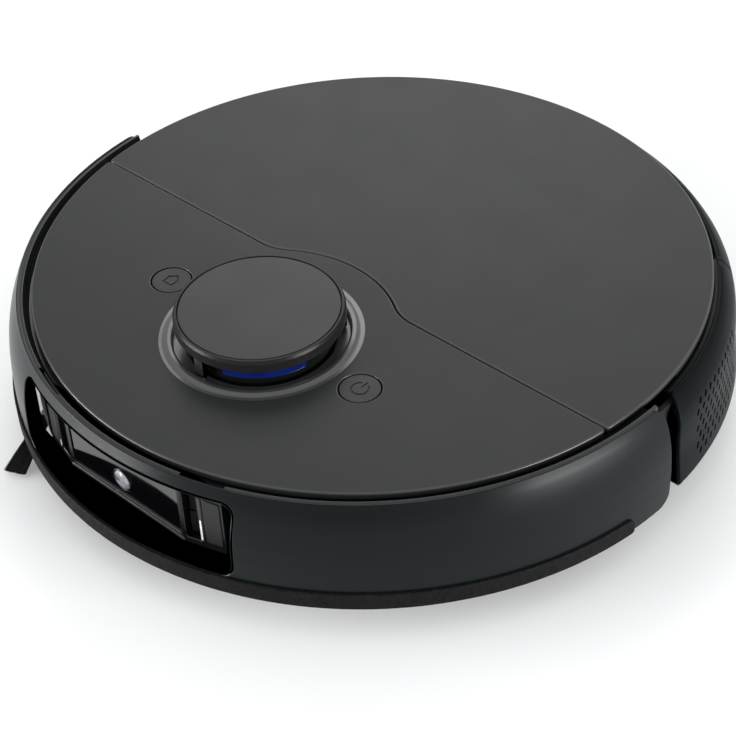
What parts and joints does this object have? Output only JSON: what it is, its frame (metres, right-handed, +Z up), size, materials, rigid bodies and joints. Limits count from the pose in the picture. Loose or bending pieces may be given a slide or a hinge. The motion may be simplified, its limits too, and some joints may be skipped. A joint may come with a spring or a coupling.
{
  "type": "robot vacuum",
  "caption": "Disc-shaped robot vacuum with a laser turret, spring bumper with a forward sensor recess, drive wheels, brushes, dust bin and rear water tank.",
  "frame": {"origin": "on the floor under the centre of the round body", "axes": "+Z up, the front of the robot along -Y, +X to the right of someone facing the nose; left and right in the names are seen that way"},
  "size_m": [0.3474, 0.35, 0.0854],
  "materials": {
    "tray_plastic": "fine matte moulded, near black",
    "frame_plastic": "matte moulded",
    "top_grey": "soft-touch matte dark grey",
    "button_grey": "matte dark grey with engraved signs",
    "turret_satin": "satin warm grey with fine sparkle",
    "shell_satin": "satin blue-black",
    "trim_grey": "matte dark grey",
    "strip_rubber": "finely textured",
    "recess_black": "smooth black",
    "sensor_glass": "dark glossy window",
    "lens_glass": "coated lens",
    "lidar_plastic": "matte moulded",
    "motor_steel": "zinc plated cans",
    "belt_rubber": "matte",
    "pulley_brass": "turned",
    "board_green": "solder mask",
    "battery_blue": "shrink wrap",
    "duct_black": "matte moulded",
    "fan_white": "matte moulded",
    "blade_blue": "soft fins",
    "bristle_black": "nylon bristles",
    "contact_gold": "plated",
    "steel_bright": "bright zinc",
    "hub_grey": "matte moulded",
    "tyre_rubber": "matte rubber with cross treads",
    "bin_smoke": "smoked clear plastic",
    "filter_white": "pleated",
    "tank_smoke": "smoked clear plastic",
    "release_black": "matte",
    "filter_blue": "blue-coated laser window",
    "pad_blue": "looped microfibre"
  },
  "bodies": {
    "chassis": {"base_tray": "tray_plastic", "mid_frame": "frame_plastic", "top_cover": "top_grey", "side_panel_left": "shell_satin", "side_panel_right": "shell_satin", "sensor_housing": "recess_black", "sensor_windows": "sensor_glass", "camera_lens": "lens_glass", "lidar_base": "lidar_plastic", "lidar_motor": "motor_steel", "lidar_belt": "belt_rubber", "main_board": "board_green", "battery_pack": "battery_blue", "battery_cover": "tray_plastic", "blower_housing": "duct_black", "blower_motor": "motor_steel", "brush_motor": "motor_steel", "brush_gearbox": "duct_black", "brush_guard": "frame_plastic", "side_brush_motor": "motor_steel", "charging_contacts": "contact_gold", "cliff_windows": "sensor_glass", "base_screws": "steel_bright", "suspension_pins": "steel_bright", "suspension_springs": "steel_bright", "dust_bin": "bin_smoke", "bin_lid": "frame_plastic", "bin_filter": "filter_white", "turret_springs": "steel_bright"},
    "bumper": {"bumper_shell": "shell_satin", "bumper_trim": "trim_grey", "bumper_strip": "strip_rubber", "sensor_surround": "recess_black"},
    "lid": {"rear_lid": "top_grey", "lid_hinge_arms": "steel_bright"},
    "power_button": {"power_button": "button_grey"},
    "home_button": {"home_button": "button_grey"},
    "turret": {"turret_cover": "turret_satin", "turret_disc": "turret_satin"},
    "laser_rotor": {"lidar_rotor": "recess_black", "lidar_window": "filter_blue"},
    "laser_pulley": {"lidar_pulley": "pulley_brass"},
    "main_brush": {"brush_core": "duct_black", "brush_blades": "blade_blue"},
    "side_brush": {"side_brush_hub": "frame_plastic", "side_brush_bristles": "bristle_black"},
    "arm_left": {"wheel_arm_left": "frame_plastic"},
    "wheel_left": {"wheel_hub_left": "hub_grey", "tyre_left": "tyre_rubber"},
    "arm_right": {"wheel_arm_right": "frame_plastic"},
    "wheel_right": {"wheel_hub_right": "hub_grey", "tyre_right": "tyre_rubber"},
    "caster": {"caster_fork": "frame_plastic"},
    "caster_wheel": {"caster_wheel": "hub_grey"},
    "impeller": {"blower_impeller": "fan_white"},
    "water_tank": {"water_tank": "tank_smoke", "tank_cover": "shell_satin", "mop_plate": "frame_plastic", "mop_pad": "pad_blue"},
    "tank_button": {"tank_button": "release_black"}
  },
  "joints": [
    {"name": "bumper_push", "type": "slide", "parent": "chassis", "child": "bumper", "axis": [0, 1, 0], "range_m": [0, 0.0025], "stiffness_N_per_m": 800},
    {"name": "lid_hinge", "type": "hinge", "parent": "chassis", "child": "lid", "pos_m": [0, -0.02355, 0.0695], "axis": [1, 0, 0], "range_deg": [0, 70]},
    {"name": "power_press", "type": "slide", "parent": "chassis", "child": "power_button", "axis": [0, 0, -1], "range_m": [0, 0.0008], "stiffness_N_per_m": 1500},
    {"name": "home_press", "type": "slide", "parent": "chassis", "child": "home_button", "axis": [0, 0, -1], "range_m": [0, 0.0008], "stiffness_N_per_m": 1500},
    {"name": "turret_press", "type": "slide", "parent": "chassis", "child": "turret", "axis": [0, 0, -1], "range_m": [0, 0.0011], "stiffness_N_per_m": 2500, "deforming": ["turret_springs"]},
    {"name": "laser_spin", "type": "hinge", "parent": "chassis", "child": "laser_rotor", "pos_m": [0, -0.0725, 0.07], "axis": [0, 0, 1], "continuous": true},
    {"name": "pulley_spin", "type": "hinge", "parent": "chassis", "child": "laser_pulley", "pos_m": [-0.046, -0.1085, 0.064], "axis": [0, 0, 1], "continuous": true},
    {"name": "main_brush_spin", "type": "hinge", "parent": "chassis", "child": "main_brush", "pos_m": [0, -0.027, 0.018], "axis": [1, 0, 0], "continuous": true},
    {"name": "side_brush_spin", "type": "hinge", "parent": "chassis", "child": "side_brush", "pos_m": [-0.106, -0.106, 0.01], "axis": [0, 0, 1], "continuous": true},
    {"name": "arm_left_swing", "type": "hinge", "parent": "chassis", "child": "arm_left", "pos_m": [-0.1, 0.046, 0.04], "axis": [1, 0, 0], "range_deg": [-4, 20], "stiffness_Nm_per_rad": 6, "springref_deg": 5.73},
    {"name": "wheel_left_spin", "type": "hinge", "parent": "arm_left", "child": "wheel_left", "pos_m": [-0.116, 0, 0.029], "axis": [1, 0, 0], "continuous": true},
    {"name": "arm_right_swing", "type": "hinge", "parent": "chassis", "child": "arm_right", "pos_m": [0.1, 0.046, 0.04], "axis": [1, 0, 0], "range_deg": [-4, 20], "stiffness_Nm_per_rad": 6, "springref_deg": 5.73},
    {"name": "wheel_right_spin", "type": "hinge", "parent": "arm_right", "child": "wheel_right", "pos_m": [0.116, 0, 0.029], "axis": [1, 0, 0], "continuous": true},
    {"name": "caster_swivel", "type": "hinge", "parent": "chassis", "child": "caster", "pos_m": [0, -0.122, 0.02], "axis": [0, 0, 1], "continuous": true},
    {"name": "caster_spin", "type": "hinge", "parent": "caster", "child": "caster_wheel", "pos_m": [0, -0.122, 0.0116], "axis": [1, 0, 0], "continuous": true},
    {"name": "impeller_spin", "type": "hinge", "parent": "chassis", "child": "impeller", "pos_m": [0.054, 0.04, 0.04], "axis": [0, 0, 1], "continuous": true},
    {"name": "tank_pull", "type": "slide", "parent": "chassis", "child": "water_tank", "axis": [0, 1, 0], "range_m": [0, 0.12]},
    {"name": "tank_release", "type": "slide", "parent": "water_tank", "child": "tank_button", "axis": [0, -1, 0], "range_m": [0, 0.0014], "stiffness_N_per_m": 1500}
  ],
  "couplings": [
    {"joint": "laser_spin", "follows": "pulley_spin", "ratio": 0.13946}
  ]
}
